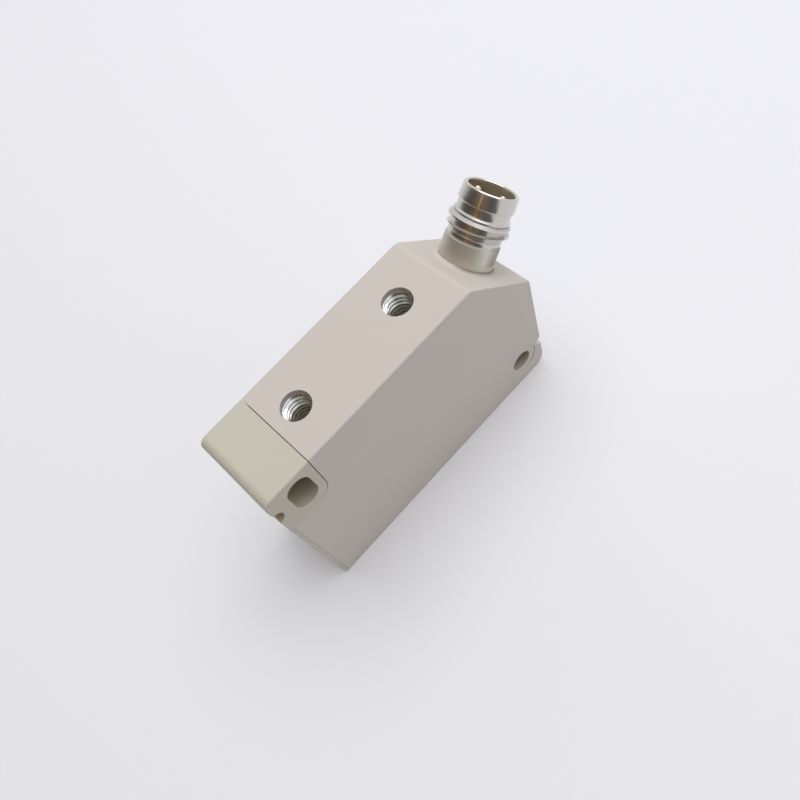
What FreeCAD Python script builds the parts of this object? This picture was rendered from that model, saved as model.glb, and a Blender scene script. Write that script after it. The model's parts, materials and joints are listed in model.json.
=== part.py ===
import FreeCAD, Part
import math
import os

# Block-shaped inductive sensor with an M8 plug on a slanted corner, in millimetres.
# X runs from the sensing face to the plug end, Y across the block, Z up from the base.
# The origin is the centre of the base.

# Block
body_length = 42.9
body_width = 12.5
body_height = 29.3
slant_angle = 45.0
slant_run = 9.0
wall = 1.2
edge_break = 0.12
ridge_radius = 1.5
brow_radius = 0.8
heel_radius = 1.9

# Front cap with its fixing slot
cap_length = 7.1
cap_depth = 8.3
cap_corner_radius = 2.0
cap_nose_radius = 1.3
nose_groove_radius = 1.1
face_wall = 0.5
cap_draft = 0.2
joint_gap = 0.09
bond_gap = 0.02
slot_width = 3.35
slot_length = 5.8
slot_drop = 4.05
slot_wall = 1.15
tongue_reach = 1.5
tongue_thickness = 1.0

# Fixing hole beside the plug end
hole_diameter = 3.25
hole_inset = 4.1
hole_height = 4.85
seat_diameter = 5.6
seat_depth = 0.15
lug_wall = 2.0
heel_groove_radius = 0.85
heel_groove_height = 5.4

# Threaded inserts under the top face
insert_inset_front = 3.7
insert_inset_rear = 6.1
insert_flats = 5.5
insert_length = 6.5
insert_recess = 0.9
thread_hole_diameter = 3.3
thread_hole_depth = 5.0
drill_point_angle = 118.0
skin_hole_diameter = 4.0
boss_wall = 1.0

# Plug on the slant: heights are measured from the slanted face along the plug's axis,
# and steps are how far each zone lies inside the outer radius of the thread
socket_depth = 5.0
socket_rim_height = 0.4
socket_rim_width = 0.12
socket_rim_flare = 0.4
plug_sink = 4.2
plug_thread_diameter = 8.0
plug_thread_length = 1.9
thread_chamfer = 0.4
collar_height = 3.3
collar_step = 0.4
undercut_length = 0.95
undercut_step = 0.55
ring_length = 0.4
ring_step = 0.3
neck_length = 1.15
neck_step = 0.6
head_length = 2.0
head_step = 0.4
rim_step = 0.55
rim_round = 0.15
mouth_depth = 6.1
mouth_step = 1.05
carrier_seat = 3.0
stem_step = 1.4
seal_section = 0.6
seal_drop = 2.6
key_width = 1.0
key_depth = 0.45
key_turn_angle = 18.0

# Contacts and their carrier
stem_reach = 0.8
contact_diameter = 1.0
contact_taper = 0.3
contact_inset = 1.4
tip_below_rim = 0.55
pad_reach = 1.7
solder_gap = 0.05
running_gap = 0.1

# Circuit board
board_thickness = 2.0
board_shift = 0.39
board_margin = 0.8

# Coil: a ferrite cup with a wound bobbin, in a holder behind the sensing wall
press_gap = 0.05
side_gap = 0.1
holder_wall = 0.4
holder_back = 0.8
holder_window = 0.7
jaw_reach = 2.0
jaw_thickness = 0.8
core_height = 3.5
core_back = 1.1
core_wall = 0.75
lead_slot = 2.4
bobbin_wall = 0.3
winding_build = 1.3
winding_margin = 0.15
lead_diameter = 0.3
lead_pad = 2.6

# Parts soldered to the board: length along X, height along Z, thickness
chip_size = (5.0, 4.0, 1.5)
transistor_size = (2.9, 1.5, 1.1)
regulator_size = (3.0, 1.7, 1.2)
diode_size = (2.7, 1.6, 1.1)
suppressor_size = (4.3, 2.6, 2.2)
large_capacitor_size = (3.2, 1.6, 1.4)
small_chip_size = (2.0, 1.25, 0.6)
cap_band = 0.4
legs_per_side = 4

V = FreeCAD.Vector
front = -body_length / 2
rear = body_length / 2
half_width = body_width / 2
slant_drop = slant_run * math.tan(math.radians(slant_angle))
slant_centre = V(rear - slant_run / 2, 0, body_height - slant_drop / 2)
slant_normal = V(math.sin(math.radians(slant_angle)), 0, math.cos(math.radians(slant_angle)))
slant_down = V(slant_normal.z, 0, -slant_normal.x)
slot_x = front + cap_length - slot_wall - slot_width / 2
slot_z = body_height - slot_drop
hole_x = rear - hole_inset
insert_places = {
    "thread_insert_front": front + cap_length + insert_inset_front,
    "thread_insert_rear": rear - slant_run - insert_inset_rear,
}
insert_bottom = body_height - insert_recess - insert_length
cavity_half = half_width - wall
shelf_z = body_height - cap_depth - wall
lug_x = hole_x - hole_diameter / 2 - lug_wall
lug_z = hole_height + hole_diameter / 2 + lug_wall
coil_z = (wall + shelf_z) / 2
thread_start = collar_height + undercut_length
ring_start = thread_start + plug_thread_length
neck_start = ring_start + ring_length
head_start = neck_start + neck_length
rim_height = head_start + head_length
mouth_floor = rim_height - mouth_depth
carrier_step = mouth_floor - carrier_seat
thread_radius = plug_thread_diameter / 2
foot_radius = thread_radius - collar_step
mouth_radius = thread_radius - mouth_step
stem_radius = thread_radius - stem_step
holder_radius = cavity_half - side_gap
core_radius = holder_radius - holder_wall - press_gap
holder_length = core_height + holder_back
window_radius = core_radius - core_wall
winding_radius = window_radius - press_gap - winding_margin
drum_radius = winding_radius - winding_build
post_radius = drum_radius - bobbin_wall - press_gap
lead_reach = (post_radius + window_radius) / 2
board_front = front + face_wall + holder_length
board_rear = lug_x - board_margin
board_low = wall + board_margin
board_high = shelf_z - board_margin
board_faces = (board_shift - board_thickness / 2, board_shift + board_thickness / 2)


def outline(corners):
    """Face in the XZ plane through corners (x, z, radius), with a tangent arc at each rounded corner."""
    edges = []
    starts = []
    ends = []
    for i, (x, z, radius) in enumerate(corners):
        here = V(x, 0, z)
        last = V(corners[i - 1][0], 0, corners[i - 1][1])
        following = V(corners[(i + 1) % len(corners)][0], 0, corners[(i + 1) % len(corners)][1])
        back = (last - here).normalize()
        ahead = (following - here).normalize()
        half_turn = back.getAngle(ahead) / 2
        reach = radius / math.tan(half_turn)
        starts.append(here + back * reach)
        ends.append(here + ahead * reach)
        if radius > 0:
            middle = here + (back + ahead).normalize() * (radius / math.sin(half_turn) - radius)
            edges.append(Part.Arc(starts[i], middle, ends[i]).toShape())
    for i in range(len(corners)):
        edges.append(Part.LineSegment(ends[i - 1], starts[i]).toShape())
    return Part.Face(Part.Wire(Part.__sortEdges__(edges)))


def across(face, low, high):
    """Prism of a face in the XZ plane, from y = low to y = high."""
    face = face.copy()
    face.translate(V(0, low, 0))
    return face.extrude(V(0, high - low, 0))


def block(x_span, y_span, z_span):
    """Box between the two limits on each axis."""
    size = [high - low for low, high in (x_span, y_span, z_span)]
    return Part.makeBox(*size, V(x_span[0], y_span[0], z_span[0]))


def turned(profile):
    """Solid of revolution about Z of a closed outline of (radius, height) points."""
    points = [V(radius, 0, height) for radius, height in profile]
    return Part.Face(Part.makePolygon(points + points[:1])).revolve(V(0, 0, 0), V(0, 0, 1), 360)


def rod(x, z, diameter):
    """Cylinder right across the block, along Y."""
    return Part.makeCylinder(diameter / 2, body_width, V(x, -half_width, z), V(0, 1, 0))


def on_slant(shape):
    """Carries a shape built along Z to the middle of the slanted face, square to it."""
    shape = shape.copy()
    shape.rotate(V(0, 0, 0), V(0, 1, 0), slant_angle)
    shape.translate(slant_centre)
    return shape


def behind_face(shape):
    """Carries a shape built along Z to the back of the sensing wall, on the coil's axis along X."""
    shape = shape.copy()
    shape.rotate(V(0, 0, 0), V(0, 1, 0), 90)
    shape.translate(V(front + face_wall, 0, coil_z))
    return shape


def whole_block():
    """Outer form that the housing and the front cap share, with the edges of its two sides broken."""
    corners = [
        (front, 0, 0),
        (rear, 0, heel_radius),
        (rear, body_height - slant_drop, brow_radius),
        (rear - slant_run, body_height, ridge_radius),
        (front, body_height, cap_nose_radius),
    ]
    solid = across(outline(corners), -half_width, half_width)
    rims = [edge for edge in solid.Edges if abs(edge.BoundBox.YMax - edge.BoundBox.YMin) < edge_break]
    return solid.makeChamfer(edge_break, rims)


def cap_region(gap, bond):
    """Corner of the block that the front cap fills, grown by the open joint behind the cap and by the
    bonded joint under it and behind its sensing wall. The joint behind the cap leans by the draft."""
    inner = front + face_wall + bond
    outer = front + cap_length + gap
    step = body_height - cap_depth - bond
    corners = [
        (front - wall, -wall, 0),
        (inner, -wall, 0),
        (inner, step, 0),
        (outer - cap_draft, step, cap_corner_radius),
        (outer, body_height, 0),
        (outer, body_height + wall, 0),
        (front - wall, body_height + wall, 0),
    ]
    return across(outline(corners), -body_width, body_width)


def tongues():
    """Two locating tongues on the back of the cap, under the housing's shelf and over its floor."""
    reach = (front + face_wall, front + face_wall + tongue_reach)
    sides = (-cavity_half + wall, cavity_half - wall)
    low = (wall + press_gap, wall + press_gap + tongue_thickness)
    high = (shelf_z - press_gap - tongue_thickness, shelf_z - press_gap)
    return [block(reach, sides, low), block(reach, sides, high)]


def front_cap():
    """Moulded cap: block with the fixing slot above, thin sensing wall below."""
    solid = whole_block().common(cap_region(0, 0))
    flank = (slot_length - slot_width) / 2
    slot = rod(slot_x, slot_z + flank, slot_width).fuse(rod(slot_x, slot_z - flank, slot_width))
    middle = block(
        (slot_x - slot_width / 2, slot_x + slot_width / 2),
        (-half_width, half_width),
        (slot_z - flank, slot_z + flank),
    )
    solid = solid.cut(slot.fuse(middle))
    solid = solid.cut(rod(front, slot_z, 2 * nose_groove_radius))
    return solid.fuse(tongues()).removeSplitter()


def cavity():
    """Hollow of the housing, clear of the fixing lug, the plug's socket and the ribs that hold the inserts."""
    line = slant_centre - slant_normal * socket_depth
    slope = math.tan(math.radians(slant_angle))
    inner_back = rear - wall
    roof = body_height - wall
    corners = [
        (front, wall, 0),
        (lug_x, wall, 0),
        (lug_x, lug_z, 0),
        (inner_back, lug_z, 0),
        (inner_back, line.z - (inner_back - line.x) * slope, 0),
        (line.x - (roof - line.z) / slope, roof, 0),
        (front + cap_length + wall, roof, 0),
        (front + cap_length + wall, shelf_z, 0),
        (front, shelf_z, 0),
    ]
    hollow = across(outline(corners), -cavity_half, cavity_half)
    reach = insert_flats / 2 + boss_wall
    for x in insert_places.values():
        rib = block((x - reach, x + reach), (-half_width, half_width), (insert_bottom - boss_wall, body_height))
        hollow = hollow.cut(rib)
    return hollow


def insert_form():
    """Hexagonal bar of one threaded insert, standing on z = 0, with two of its flats across the block."""
    radius = insert_flats / 2 / math.cos(math.pi / 6)
    angles = [math.pi / 6 + corner * math.pi / 3 for corner in range(6)]
    points = [V(radius * math.cos(angle), radius * math.sin(angle), 0) for angle in angles]
    return Part.Face(Part.makePolygon(points + points[:1])).extrude(V(0, 0, insert_length))


def thread_insert(x):
    """Metal insert with a blind hole at its thread's minor diameter, ended by the drill's point."""
    radius = thread_hole_diameter / 2
    end = insert_length - thread_hole_depth
    point = radius / math.tan(math.radians(drill_point_angle / 2))
    hole = turned([(0, insert_length), (radius, insert_length), (radius, end), (0, end - point)])
    solid = insert_form().cut(hole)
    solid.translate(V(x, 0, insert_bottom))
    return solid


def socket_rim():
    """Low flared ring that stands up from the slant round the plug."""
    top = foot_radius + socket_rim_width
    foot = top + socket_rim_flare
    height = socket_rim_height
    return on_slant(turned([(0, -wall), (foot, -wall), (foot, 0), (top, height), (0, height)]))


def plug_socket():
    """Stepped hole for the plug, square to the slant, from outside the slant into the cavity."""
    passage = stem_radius + running_gap
    return on_slant(turned([
        (0, wall),
        (foot_radius, wall),
        (foot_radius, -plug_sink),
        (passage, -plug_sink),
        (passage, -socket_depth - wall),
        (0, -socket_depth - wall),
    ]))


def housing():
    """Moulded shell, open at the sensing end, with insert ribs, fixing lug and plug socket."""
    solid = whole_block().fuse(socket_rim()).cut(cap_region(joint_gap, bond_gap))
    solid = solid.cut(cavity())
    for x in insert_places.values():
        form = insert_form()
        form.translate(V(x, 0, insert_bottom))
        skin = Part.makeCylinder(skin_hole_diameter / 2, insert_recess, V(x, 0, body_height - insert_recess))
        solid = solid.cut([form, skin])
    solid = solid.cut(plug_socket())
    solid = solid.cut(rod(hole_x, hole_height, hole_diameter))
    for side in (-1, 1):
        face = V(hole_x, side * (half_width - seat_depth), hole_height)
        solid = solid.cut(Part.makeCylinder(seat_diameter / 2, wall, face, V(0, side, 0)))
    return solid.cut(rod(rear, heel_groove_height, 2 * heel_groove_radius)).removeSplitter()


def plug_shell():
    """Turned plug body: buried foot with the seal's groove, collar, thread zone, ring, neck and mouth."""
    undercut = thread_radius - undercut_step
    ring = thread_radius - ring_step
    neck = thread_radius - neck_step
    rim = thread_radius - rim_step
    passage = stem_radius + press_gap
    seal_low = -seal_drop - seal_section / 2
    solid = turned([
        (passage, -plug_sink),
        (foot_radius, -plug_sink),
        (foot_radius, seal_low),
        (foot_radius - seal_section, seal_low),
        (foot_radius - seal_section, seal_low + seal_section),
        (foot_radius, seal_low + seal_section),
        (foot_radius, collar_height),
        (undercut, collar_height),
        (undercut, thread_start),
        (thread_radius, thread_start),
        (thread_radius, ring_start - thread_chamfer),
        (thread_radius - thread_chamfer, ring_start),
        (ring, ring_start),
        (ring, neck_start),
        (neck, neck_start),
        (neck, head_start),
        (thread_radius - head_step, head_start),
        (rim, rim_height - rim_round),
        (rim - rim_round, rim_height),
        (mouth_radius + rim_round, rim_height),
        (mouth_radius, rim_height - rim_round),
        (mouth_radius, carrier_step),
        (passage, carrier_step),
    ])
    sides = (-key_width / 2, key_width / 2)
    depths = (-mouth_radius - press_gap, key_depth - mouth_radius)
    key = block(sides, depths, (mouth_floor, rim_height - rim_round))
    key.rotate(V(0, 0, 0), V(0, 0, 1), -key_turn_angle)
    return on_slant(solid.fuse(key).removeSplitter())


def plug_seal():
    """Ring of square section squeezed into its groove in the plug's foot, against the socket's wall."""
    inner = foot_radius - seal_section
    low = -seal_drop - seal_section / 2
    return on_slant(turned([
        (inner, low),
        (foot_radius, low),
        (foot_radius, low + seal_section),
        (inner, low + seal_section),
    ]))


def contact_places():
    """Places of the contacts across the plug, as (down the slant, across the block): two on one face of
    the board and one on the other, so that their tails lie on its pads."""
    near = board_faces[0] - solder_gap - contact_diameter / 2
    far = board_faces[1] + solder_gap + contact_diameter / 2
    spread = stem_radius - contact_inset
    return {
        "contact_pin_supply": (-spread, near),
        "contact_pin_ground": (spread, near),
        "contact_pin_output": (0, far),
    }


def contact_pin(down, aside):
    """Round contact with a tapered tip, whose other end lies on the board's pad."""
    radius = contact_diameter / 2
    tip = rim_height - tip_below_rim
    pad_z = board_high - pad_reach - slant_centre.z - down * slant_down.z
    solid = turned([
        (0, pad_z / slant_normal.z),
        (radius, pad_z / slant_normal.z),
        (radius, tip - contact_taper),
        (radius - contact_taper, tip),
        (0, tip),
    ])
    solid.translate(V(down, aside, 0))
    return on_slant(solid)


def contact_carrier():
    """Insulating body: a disc seated in the plug's mouth, and a stem through the socket into the housing."""
    disc = mouth_radius - press_gap
    solid = turned([
        (0, -socket_depth - stem_reach),
        (stem_radius, -socket_depth - stem_reach),
        (stem_radius, carrier_step),
        (disc, carrier_step),
        (disc, mouth_floor),
        (0, mouth_floor),
    ])
    for down, aside in contact_places().values():
        hole = Part.makeCylinder(contact_diameter / 2, body_height, V(down, aside, -body_height / 2))
        solid = solid.cut(hole)
    return on_slant(solid)


def circuit_board():
    """Flat board standing along the housing, from the coil holder to the fixing lug."""
    return block((board_front, board_rear), board_faces, (board_low, board_high))


def chip_body(size):
    """Moulded chip with its solder legs along both long sides, standing on y = 0."""
    length, height, thickness = size
    body = block((-length / 2, length / 2), (0, thickness), (-height / 2, height / 2))
    body = body.makeChamfer(cap_band / 2, [e for e in body.Edges if e.CenterOfMass.y > thickness * 0.9])
    pitch = length / legs_per_side
    for place in range(legs_per_side):
        x = (place + 1 / 2) * pitch - length / 2
        reach = height / 2 + cap_band
        leg = block((x - pitch / 6, x + pitch / 6), (0, cap_band / 2), (-reach, reach))
        body = body.fuse(leg)
    return body.removeSplitter()


def end_cap_body(size):
    """Chip resistor, capacitor or diode: a ceramic bar between two slightly thicker metal ends."""
    length, height, thickness = size
    inset = cap_band / 8
    bar = block((-length / 2, length / 2), (0, thickness - inset), (inset - height / 2, height / 2 - inset))
    for side in (-1, 1):
        ends = sorted((side * length / 2, side * (length / 2 - cap_band)))
        bar = bar.fuse(block(ends, (0, thickness), (-height / 2, height / 2)))
    return bar.removeSplitter()


def board_parts():
    """Soldered parts in two rows on each face: share along the board, share up it, face, form and size."""
    layout = {
        "oscillator_chip": (0.34, 0.52, 0, chip_body, chip_size),
        "tuning_capacitor": (0.20, 0.24, 0, end_cap_body, large_capacitor_size),
        "trim_resistor": (0.36, 0.20, 0, end_cap_body, small_chip_size),
        "load_resistor": (0.52, 0.24, 0, end_cap_body, small_chip_size),
        "output_transistor": (0.60, 0.55, 0, chip_body, transistor_size),
        "supply_regulator": (0.36, 0.55, 1, chip_body, regulator_size),
        "filter_capacitor": (0.36, 0.22, 1, end_cap_body, large_capacitor_size),
        "reverse_diode": (0.58, 0.22, 1, end_cap_body, diode_size),
        "surge_suppressor": (0.62, 0.52, 1, end_cap_body, suppressor_size),
    }
    made = {}
    for name, (along, up, face, form, size) in layout.items():
        solid = form(size)
        if face == 0:
            solid.rotate(V(0, 0, 0), V(0, 0, 1), 180)
        x = board_front + along * (board_rear - board_front)
        z = board_low + up * (board_high - board_low)
        solid.translate(V(x, board_faces[face], z))
        made[name] = solid
    return made


def core_holder():
    """Moulded ring round the ferrite core, with a back flange and two pairs of jaws that grip the board."""
    inner = core_radius + press_gap
    window = inner - holder_window
    ring = behind_face(turned([
        (inner, 0),
        (holder_radius, 0),
        (holder_radius, holder_length),
        (window, holder_length),
        (window, core_height),
        (inner, core_height),
    ]))
    jaw_faces = [
        (board_faces[0] - press_gap - jaw_thickness, board_faces[0] - press_gap),
        (board_faces[1] + press_gap, board_faces[1] + press_gap + jaw_thickness),
    ]
    reach = (board_front - holder_back / 2, board_front + jaw_reach)
    low = lead_reach + lead_diameter / 2 + running_gap
    for faces in jaw_faces:
        for side in (-1, 1):
            heights = sorted((coil_z + side * low, coil_z + side * (inner - holder_window / 4)))
            ring = ring.fuse(block(reach, faces, heights))
    return ring.removeSplitter()


def ferrite_core():
    """Ferrite cup open towards the sensing face, with a centre post and two slots for the leads."""
    cup = turned([
        (0, 0),
        (post_radius, 0),
        (post_radius, core_height - core_back),
        (window_radius, core_height - core_back),
        (window_radius, 0),
        (core_radius, 0),
        (core_radius, core_height),
        (0, core_height),
    ])
    for side in (-1, 1):
        spans = sorted((side * drum_radius, side * (core_radius + wall)))
        cup = cup.cut(block(spans, (-lead_slot / 2, lead_slot / 2), (core_height - core_back, core_height)))
    return behind_face(cup)


def lead_places():
    """Where the two coil leads run, level with the board's near face, above and below the coil's axis."""
    aside = board_faces[0] - solder_gap - lead_diameter / 2
    return {"coil_lead_start": (aside, lead_reach), "coil_lead_end": (aside, -lead_reach)}


def coil_bobbin():
    """Spool in the ferrite cup: a thin hub and two flanges, the back one notched for the leads."""
    hub = post_radius + press_gap
    flange = window_radius - press_gap
    depth = core_height - core_back - press_gap
    spool = behind_face(turned([
        (hub, 0),
        (flange, 0),
        (flange, bobbin_wall),
        (drum_radius, bobbin_wall),
        (drum_radius, depth - bobbin_wall),
        (flange, depth - bobbin_wall),
        (flange, depth),
        (hub, depth),
    ]))
    notch = lead_diameter / 2 + press_gap
    back = front + face_wall + depth
    for aside, up in lead_places().values():
        heights = sorted((coil_z + up - math.copysign(notch, up), coil_z + math.copysign(window_radius, up)))
        spool = spool.cut(block((back - bobbin_wall, back + wall), (aside - notch, aside + notch), heights))
    return spool


def coil_winding():
    """Copper winding that fills the bobbin between its flanges."""
    depth = core_height - core_back - press_gap
    return behind_face(turned([
        (drum_radius, bobbin_wall),
        (winding_radius, bobbin_wall),
        (winding_radius, depth - bobbin_wall),
        (drum_radius, depth - bobbin_wall),
    ]))


def coil_lead(aside, up):
    """One straight end of the winding, from the bobbin to its pad on the board."""
    start = front + face_wall + core_height - core_back - press_gap - bobbin_wall
    length = board_front + lead_pad - start
    return Part.makeCylinder(lead_diameter / 2, length, V(start, aside, coil_z + up), V(1, 0, 0))


def potting(inner, boxed):
    """Cast resin that fills the cavity behind the coil holder's ring, up to the inner pieces and to the
    boxes round the small soldered ones."""
    holder_space = behind_face(Part.makeCylinder(holder_radius, holder_length))
    ahead = block((front - wall, front + face_wall + bond_gap), (-body_width, body_width), (-wall, body_height))
    boxes = [shape.BoundBox for shape in boxed]
    outlines = [block((box.XMin, box.XMax), (box.YMin, box.YMax), (box.ZMin, box.ZMax)) for box in boxes]
    filled = cavity().cut([holder_space, ahead] + tongues() + inner + outlines)
    return max(filled.Solids, key=lambda solid: solid.Volume)


pieces = {
    "housing": housing(),
    "front_cap": front_cap(),
    "plug_shell": plug_shell(),
    "plug_seal": plug_seal(),
    "contact_carrier": contact_carrier(),
    "circuit_board": circuit_board(),
    "core_holder": core_holder(),
    "ferrite_core": ferrite_core(),
    "coil_bobbin": coil_bobbin(),
    "coil_winding": coil_winding(),
}
for node, x in insert_places.items():
    pieces[node] = thread_insert(x)
for node, (down, aside) in contact_places().items():
    pieces[node] = contact_pin(down, aside)
for node, (aside, up) in lead_places().items():
    pieces[node] = coil_lead(aside, up)
soldered = board_parts()
pieces.update(soldered)
wetted = ["contact_carrier", "circuit_board", "core_holder", *contact_places()]
boxed = [*soldered, *lead_places()]
pieces["potting"] = potting([pieces[node] for node in wetted], [pieces[node] for node in boxed])

os.makedirs("parts", exist_ok=True)
for node, shape in pieces.items():
    print(node, len(shape.Solids), round(shape.Volume, 2), shape.isValid())
    shape.exportStep("parts/" + node + ".step")
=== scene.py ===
import json
import math

import bmesh
import bpy
import numpy as np
from mathutils import Matrix, Vector


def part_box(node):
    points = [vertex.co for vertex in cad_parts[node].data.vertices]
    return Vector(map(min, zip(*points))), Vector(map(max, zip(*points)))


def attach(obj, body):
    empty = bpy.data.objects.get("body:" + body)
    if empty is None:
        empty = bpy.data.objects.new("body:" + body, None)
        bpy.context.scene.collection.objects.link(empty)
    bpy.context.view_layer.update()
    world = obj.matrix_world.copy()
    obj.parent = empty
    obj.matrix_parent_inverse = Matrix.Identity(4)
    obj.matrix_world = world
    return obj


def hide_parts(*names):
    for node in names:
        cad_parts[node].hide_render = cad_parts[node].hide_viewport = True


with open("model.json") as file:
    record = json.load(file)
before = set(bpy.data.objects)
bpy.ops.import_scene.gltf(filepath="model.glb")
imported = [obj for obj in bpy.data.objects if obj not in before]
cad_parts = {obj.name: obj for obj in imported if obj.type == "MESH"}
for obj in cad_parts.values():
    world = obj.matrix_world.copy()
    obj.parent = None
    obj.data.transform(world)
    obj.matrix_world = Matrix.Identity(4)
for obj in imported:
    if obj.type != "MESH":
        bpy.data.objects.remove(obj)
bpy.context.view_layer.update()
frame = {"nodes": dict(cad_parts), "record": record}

# Housing: one moulding of glass-filled polyester, open at the sensing end, which carries the plug on its
# slanted corner, two threaded inserts under its top and a fixing hole at its heel.
# It comes out of a finely spark-eroded tool, so its faces are satin and its edges softly broken.
MM = 0.001
MERGE_DISTANCE = 0.0005 * MM
FLAT_DEGREES = 0.5
SHARP_DEGREES = 32.0
EDGE_BREAK = 0.04 * MM
BORE_SHADE_START = 0.12 * MM
BORE_SHADE_FULL = 0.02 * MM


def linear(hex_colour):
    """Linear RGBA of an sRGB hex colour, by the curve of the sRGB standard."""
    srgb = np.array([int(hex_colour[i:i + 2], 16) for i in (0, 2, 4)]) / 255
    low = srgb / 12.92
    high = ((srgb + 0.055) / 1.055) ** 2.4
    return (*np.where(srgb <= 0.04045, low, high).tolist(), 1.0)


def add_node(tree, kind, settings=None, inputs=None, links=None):
    """Adds a node, sets its properties and input values, and links other nodes' outputs to its inputs."""
    node = tree.nodes.new(kind)
    for name, value in (settings or {}).items():
        setattr(node, name, value)
    for name, value in (inputs or {}).items():
        node.inputs[name].default_value = value
    for name, output in (links or {}).items():
        tree.links.new(output, node.inputs[name])
    return node


def new_material(name, colour, **sockets):
    """Empty material with one surface shader, its plain sockets set, and its object coordinates."""
    material = bpy.data.materials.new(name)
    material.use_nodes = True
    tree = material.node_tree
    shader = tree.nodes["Principled BSDF"]
    shader.inputs["Base Color"].default_value = linear(colour)
    for socket, value in sockets.items():
        shader.inputs[socket.replace("_", " ")].default_value = value
    place = add_node(tree, "ShaderNodeTexCoord").outputs["Object"]
    return material, tree, shader, place


def satin_moulding(name, colour, flow_colour, roughness, grain_mm, depth_mm):
    """Satin surface of a moulded, cast or pressed piece: faint flow clouds in the colour, and the tool's
    grain in the gloss and the bump. An eroded grain is drawn coarser than it is, so that it shows."""
    cloud_mm = 9.0
    gloss_spread = 0.06
    material, tree, shader, place = new_material(name, colour, Specular_IOR_Level=0.35)
    clouds = add_node(tree, "ShaderNodeTexNoise", inputs={"Scale": 1 / (cloud_mm * MM), "Detail": 4.0},
                      links={"Vector": place})
    tint = add_node(tree, "ShaderNodeMix", {"data_type": "RGBA"},
                    {"A": linear(colour), "B": linear(flow_colour)}, {"Factor": clouds.outputs["Fac"]})
    tree.links.new(tint.outputs["Result"], shader.inputs["Base Color"])
    grain = add_node(tree, "ShaderNodeTexNoise", inputs={"Scale": 1 / (grain_mm * MM), "Detail": 2.0},
                     links={"Vector": place})
    gloss = add_node(tree, "ShaderNodeMapRange",
                     inputs={"To Min": roughness - gloss_spread, "To Max": roughness + gloss_spread},
                     links={"Value": grain.outputs["Fac"]})
    tree.links.new(gloss.outputs["Result"], shader.inputs["Roughness"])
    relief = add_node(tree, "ShaderNodeBump", inputs={"Strength": 1.0, "Distance": depth_mm * MM},
                      links={"Height": grain.outputs["Fac"]})
    tree.links.new(relief.outputs["Normal"], shader.inputs["Normal"])
    return material


def paint_shade_over(material, shade_tone, *limits):
    """Paints shade: turns a finish's colour towards a shade tone by the product of its limits, each an
    output from 0 to 1 that varies over the surface."""
    tree = material.node_tree
    shader = tree.nodes["Principled BSDF"]
    unshaded = shader.inputs["Base Color"].links[0].from_socket
    amount = limits[0]
    for limit in limits[1:]:
        both = add_node(tree, "ShaderNodeMath", {"operation": "MULTIPLY"}, links={0: amount, 1: limit})
        amount = both.outputs["Value"]
    tint = add_node(tree, "ShaderNodeMix", {"data_type": "RGBA"}, {"B": linear(shade_tone)},
                    {"Factor": amount, "A": unshaded})
    tree.links.new(tint.outputs["Result"], shader.inputs["Base Color"])


def painted_bore_shade(material, shade_tone, middle, radius, half_run=0.0):
    """Painted shade in a bore: every point nearer to the bore's axis, which runs across the block, than its
    radius is turned browner. In an upright slot the distance counts from between its two ends."""
    tree = material.node_tree
    place = add_node(tree, "ShaderNodeTexCoord").outputs["Object"]
    arm = add_node(tree, "ShaderNodeVectorMath", {"operation": "SUBTRACT"}, {1: middle}, {0: place})
    folded = add_node(tree, "ShaderNodeVectorMath", {"operation": "ABSOLUTE"},
                      links={0: arm.outputs["Vector"]})
    past = add_node(tree, "ShaderNodeVectorMath", {"operation": "SUBTRACT"}, {1: (0, 0, half_run)},
                    {0: folded.outputs["Vector"]})
    past = add_node(tree, "ShaderNodeVectorMath", {"operation": "MAXIMUM"},
                    links={0: past.outputs["Vector"]})
    flat = add_node(tree, "ShaderNodeVectorMath", {"operation": "MULTIPLY"}, {1: (1, 0, 1)},
                    {0: past.outputs["Vector"]})
    distance = add_node(tree, "ShaderNodeVectorMath", {"operation": "LENGTH"},
                        links={0: flat.outputs["Vector"]})
    inside = add_node(tree, "ShaderNodeMapRange",
                      inputs={"From Min": radius + BORE_SHADE_START, "From Max": radius + BORE_SHADE_FULL},
                      links={"Value": distance.outputs["Value"]})
    paint_shade_over(material, shade_tone, inside.outputs["Result"])


def moulded_mesh(node, name):
    """Copy of a CAD node's mesh with its loose triangles merged and its flat faces joined, shaded smooth up
    to its sharp edges."""
    shape = bmesh.new()
    shape.from_mesh(frame["nodes"][node].data)
    bmesh.ops.remove_doubles(shape, verts=shape.verts, dist=MERGE_DISTANCE)
    bmesh.ops.dissolve_limit(shape, angle_limit=math.radians(FLAT_DEGREES),
                             verts=shape.verts, edges=shape.edges)
    mesh = bpy.data.meshes.new(name)
    shape.to_mesh(mesh)
    shape.free()
    mesh.shade_smooth()
    mesh.set_sharp_from_angle(angle=math.radians(SHARP_DEGREES))
    return mesh


def linked_piece(mesh, finish):
    """Object at the origin with this mesh and finish, named like the mesh and linked into the scene."""
    mesh.materials.append(finish)
    piece = bpy.data.objects.new(mesh.name, mesh)
    bpy.context.scene.collection.objects.link(piece)
    return piece


def sensor_piece(mesh, finish, slot, *nodes):
    """Piece with this mesh and finish that rides on the sensor and stands for the named CAD nodes."""
    piece = linked_piece(mesh, finish)
    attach(piece, "root")
    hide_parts(*nodes)
    return piece


def break_edges(piece):
    """Puts a narrow round strip in place of each sharp edge of a moulding, and keeps its flat faces flat."""
    edge = piece.modifiers.new("broken_edges", "BEVEL")
    edge.width = EDGE_BREAK
    edge.segments = 2
    edge.limit_method = "ANGLE"
    edge.angle_limit = math.radians(SHARP_DEGREES)
    edge.harden_normals = False
    normals = piece.modifiers.new("face_normals", "WEIGHTED_NORMAL")
    normals.keep_sharp = True


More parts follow.
